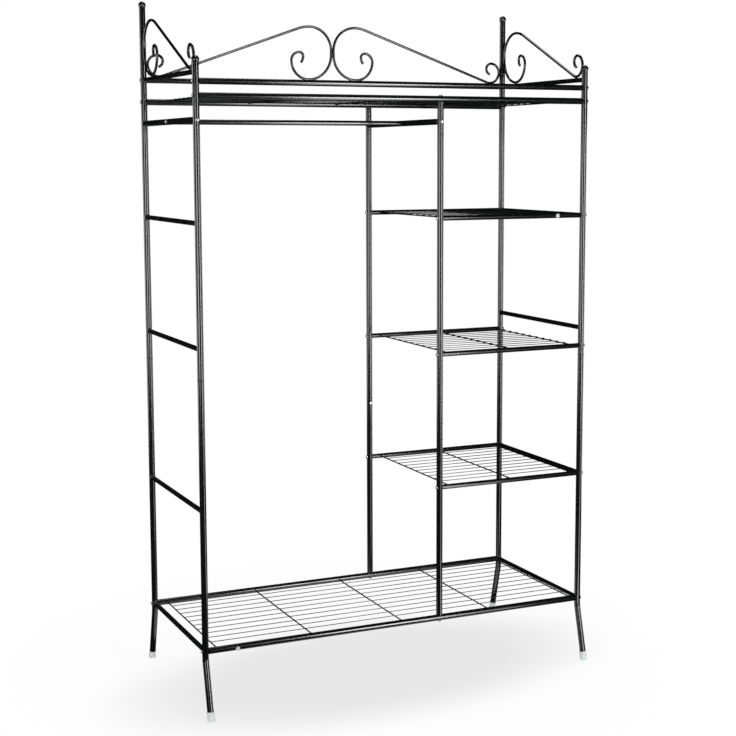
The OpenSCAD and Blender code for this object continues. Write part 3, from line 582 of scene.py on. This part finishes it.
def plug(x, z, rail_r, tilt):
    """A plug along D = (0, -cos tilt, -sin tilt) from the rail's axis: its stem, then a head
    whose underside lies on the rail, at sqrt(R^2 - (r cos a)^2) from the axis at the radius
    r and the angle a, where R is just over the rail's radius, and whose top edge is rounded."""
    sides = 28
    a = np.arange(sides) * 2 * np.pi / sides
    stem, top = rail_r - plug_head_h, rail_r + plug_head_h
    rows = [(stem, 0), (stem, plug_stem_r)]
    rows += [(np.sqrt((rail_r + seat_gap) ** 2 - (r * np.cos(a)) ** 2), r)
             for r in (plug_stem_r, 4, plug_head_r)]
    rows += [(top - 0.9, plug_head_r), (top - 0.45, 5.3), (top - 0.12, 4.9), (top, 4.2),
             (top + 0.02, 0)]
    s = np.stack([np.broadcast_to(along, sides) for along, r in rows])
    start = np.array([x, -post_y, z])
    way = np.array([0, -math.cos(tilt), -math.sin(tilt)])
    return carried([start, start + way * s.max()], (1, 0, 0), s, [r for along, r in rows], sides)


piece("rail_plug_heads", [plug(plug_inset - post_x, base_z, deck_rail_r, plug_tilt),
                          plug(post_x - plug_inset, high_z, shelf_rail_r, 0)],
      pale_plastic, "rail_plugs")

# Studio floor and backdrop
# A smooth white sheet. Under the rack and just in front of it, a soft grey is painted into the
# sheet's colour as a painted shadow, on top of the rack's own cast shadow, and further off it runs
# into plain white.


def seen(tree):
    """1 where the camera, a reflection or a clear piece looks on, 0 where light falls."""
    ray = add(tree, "LightPath").outputs
    either = add(tree, "Math", {"operation": "MAXIMUM"},
                 {0: ray["Is Camera Ray"], 1: ray["Is Glossy Ray"]})
    return add(tree, "Math", {"operation": "MAXIMUM"},
               {0: either.outputs[0], 1: ray["Is Transmission Ray"]}).outputs[0]


def stand(name, points, faces, material, mirrored_only=False):
    """Puts a part of the studio beside the rack. One that is mirrored only shows in the
    rack's reflections and nowhere else."""
    mesh = bpy.data.meshes.new(name)
    mesh.from_pydata(points, [], faces)
    mesh.materials.append(material)
    thing = bpy.data.objects.new(name, mesh)
    bpy.context.scene.collection.objects.link(thing)
    if mirrored_only:
        thing.visible_camera = thing.visible_diffuse = thing.visible_transmission = False
        thing.visible_shadow = thing.visible_volume_scatter = False


paper, tree, place = finish("white_sheet_painted_shadow")
away = add(tree, "VectorMath", {"operation": "LENGTH"}, {0: place})
fade = add(tree, "MapRange", {"From Min": 0.65, "From Max": 1.1, "To Min": 0.85, "To Max": 1.0},
           {"Value": away.outputs["Value"]})
share = add(tree, "Math", {"operation": "MULTIPLY"}, {0: fade.outputs["Result"], 1: seen(tree)})
# The painted shadow: an oval under the rack where the sheet's own colour is darkened to a soft
# grey, fading to white at its edge
under = add(tree, "Mapping", {
    "vector_type": "TEXTURE", "Location": (-0.04, -0.07, 0), "Rotation": (0, 0, 0.1),
    "Scale": (0.81, 0.43, 1)}, {"Vector": place})
near = add(tree, "VectorMath", {"operation": "LENGTH"}, {0: under.outputs["Vector"]})
soft = add(tree, "MapRange", {"interpolation_type": "SMOOTHSTEP", "From Min": 0.5, "From Max": 1.0},
           {"Value": near.outputs["Value"]})
painted_shadow_tint = add(tree, "MixRGB", {"Color1": linear("#ebebeb"), "Color2": linear("#ffffff")},
           {"Fac": soft.outputs["Result"]})
matt = add(tree, "BsdfDiffuse", links={"Color": painted_shadow_tint.outputs["Color"]})
glow = add(tree, "Emission", {"Strength": 1.0}, {"Color": painted_shadow_tint.outputs["Color"]})
show(tree, add(tree, "MixShader", links={
    0: share.outputs[0], 1: matt.outputs["BSDF"], 2: glow.outputs["Emission"]}).outputs[0])
half = 9
stand("studio_floor", [(-half, -half, 0), (half, -half, 0), (half, half, 0), (-half, half, 0)],
      [(0, 1, 2, 3)], paper)

# Round it all the backdrop is plain white to the eye, and lights the rack at under half that
world = bpy.data.worlds.new("white_studio")
bpy.context.scene.world = world
world.use_nodes = True
tree = world.node_tree
tree.nodes.clear()
plain = add(tree, "Background", {"Color": (1, 1, 1, 1), "Strength": 0.45})
white = add(tree, "Background", {"Color": (1, 1, 1, 1), "Strength": 1.0})
both = add(tree, "MixShader", links={0: seen(tree), 1: plain.outputs[0], 2: white.outputs[0]})
add(tree, "OutputWorld", links={"Surface": both.outputs[0]})

# Black cards
# The photograph's tubes mirror a dark studio round the white sheet. Black cards on the
# floor round the rack, all round the set and over it do the same here. They show in
# reflections only.
black_card, tree = finish("matt_black_card")[:2]
show(tree, add(tree, "BsdfDiffuse", {"Color": linear("#0a0a0a")}).outputs["BSDF"])
# Four rings of points (wide cos v, deep sin v, z): the floor card's hole under the rack, its
# rim, the wall's top and the roof's middle
steps, hole_x, hole_y, card_z, wall_r, wall_top = 64, 0.62, 0.3, 0.002, 4.6, 4.5
v = np.arange(steps) * 2 * np.pi / steps
rings = [np.stack([wide * np.cos(v), deep * np.sin(v), np.full(steps, z)], -1)
         for wide, deep, z in ((hole_x, hole_y, card_z), (wall_r, wall_r, card_z),
                               (wall_r, wall_r, wall_top), (0.01, 0.01, wall_top))]
number = np.arange(steps * len(rings)).reshape(len(rings), steps)
beside = np.roll(number, -1, axis=1)
faces = np.stack([number[:-1], beside[:-1], beside[1:], number[1:]], -1).reshape(-1, 4)
stand("black_cards", np.concatenate(rings), faces, black_card, mirrored_only=True)

# Glowing white card
# A strip of card on the floor in front of the rack, under the front lamp, that glows by itself
# though it is no lamp. It shows in reflections only, as a painted reflection: the grey stripe that
# runs down the lower posts.
glowing_card, tree = finish("glowing_white_card")[:2]
show(tree, add(tree, "Emission", {"Color": (1, 1, 1, 1), "Strength": 3.6}).outputs["Emission"])
strip_z = 2 * card_z
stand("glowing_card", [(0.26, -0.62, strip_z), (1.0, -3.0, strip_z), (1.6, -2.75, strip_z),
                     (0.56, -0.52, strip_z)], [(0, 1, 2, 3)], glowing_card, mirrored_only=True)

# Lamps
# Plain white soft boxes on the left, on the right and in front draw the stripes down the
# posts and rails, and two strips overhead light the scrolls and the rails' tops. A lamp's
# power is its brightness, where 1 is white, times pi times its area.
for name, place_at, aim, (wide, high), brightness in (
        ("left_back_box", (-2.77, 1.6, 1.155), (0, 0, 1.155), (1.7, 2.1), 3.2),
        ("left_front_box", (-2.38, -2.14, 0.98), (0, 0, 0.98), (1.6, 1.15), 4.8),
        ("right_box", (2.18, -0.31, 0.735), (0, 0, 0.735), (1.4, 1.4), 2.6),
        ("front_box", (1.24, -3.07, 0.975), (0, 0, 0.975), (0.62, 1.75), 13),
        ("overhead_strip", (-0.1, -1.29, 4.25), (-0.3, 0.2, 1.65), (0.5, 2.2), 5),
        ("overhead_back_strip", (0.275, 1.11, 3.75), (0.525, 0, 1.63), (1.0, 0.6), 5)):
    lamp = bpy.data.lights.new(name, "AREA")
    lamp.shape, lamp.size, lamp.size_y = "RECTANGLE", wide, high
    lamp.energy = brightness * math.pi * wide * high
    soft_box = bpy.data.objects.new(name, lamp)
    bpy.context.scene.collection.objects.link(soft_box)
    soft_box.location = place_at
    look = np.subtract(aim, place_at)
    soft_box.rotation_euler = (math.atan2(math.hypot(look[0], look[1]), -look[2]), 0,
                               math.atan2(-look[0], look[1]))

# Camera
# The photograph's place and angle, fitted on the posts and rails. The photograph is cropped
# from a picture that was taken nearly level, so the lens is shifted down a little.
yaw, pitch, roll = 0.4246, 0.1243, -0.0033
picture_size, focal_length, middle_row = 736, 1481, 342  # All three in the photograph's pixels
sensor = 36
ahead = np.array([math.sin(yaw) * math.cos(pitch), math.cos(yaw) * math.cos(pitch),
                  -math.sin(pitch)])
right_way = np.array([math.cos(yaw), -math.sin(yaw), 0])
up_way = np.cross(right_way, ahead)
turned = np.stack([right_way * math.cos(roll) + up_way * math.sin(roll),
                   up_way * math.cos(roll) - right_way * math.sin(roll), -ahead], 1)
lens = bpy.data.cameras.new("photo_camera")
lens.sensor_width, lens.sensor_fit = sensor, "HORIZONTAL"
lens.lens = focal_length / picture_size * sensor
lens.shift_y = (middle_row - picture_size / 2) / picture_size
camera = bpy.data.objects.new("photo_camera", lens)
bpy.context.scene.collection.objects.link(camera)
camera.rotation_euler = Matrix(turned.tolist()).to_euler()
camera.location = (-1.5873, -3.5227, 1.3436)
bpy.context.scene.camera = camera
bpy.context.scene.view_settings.view_transform = "Standard"
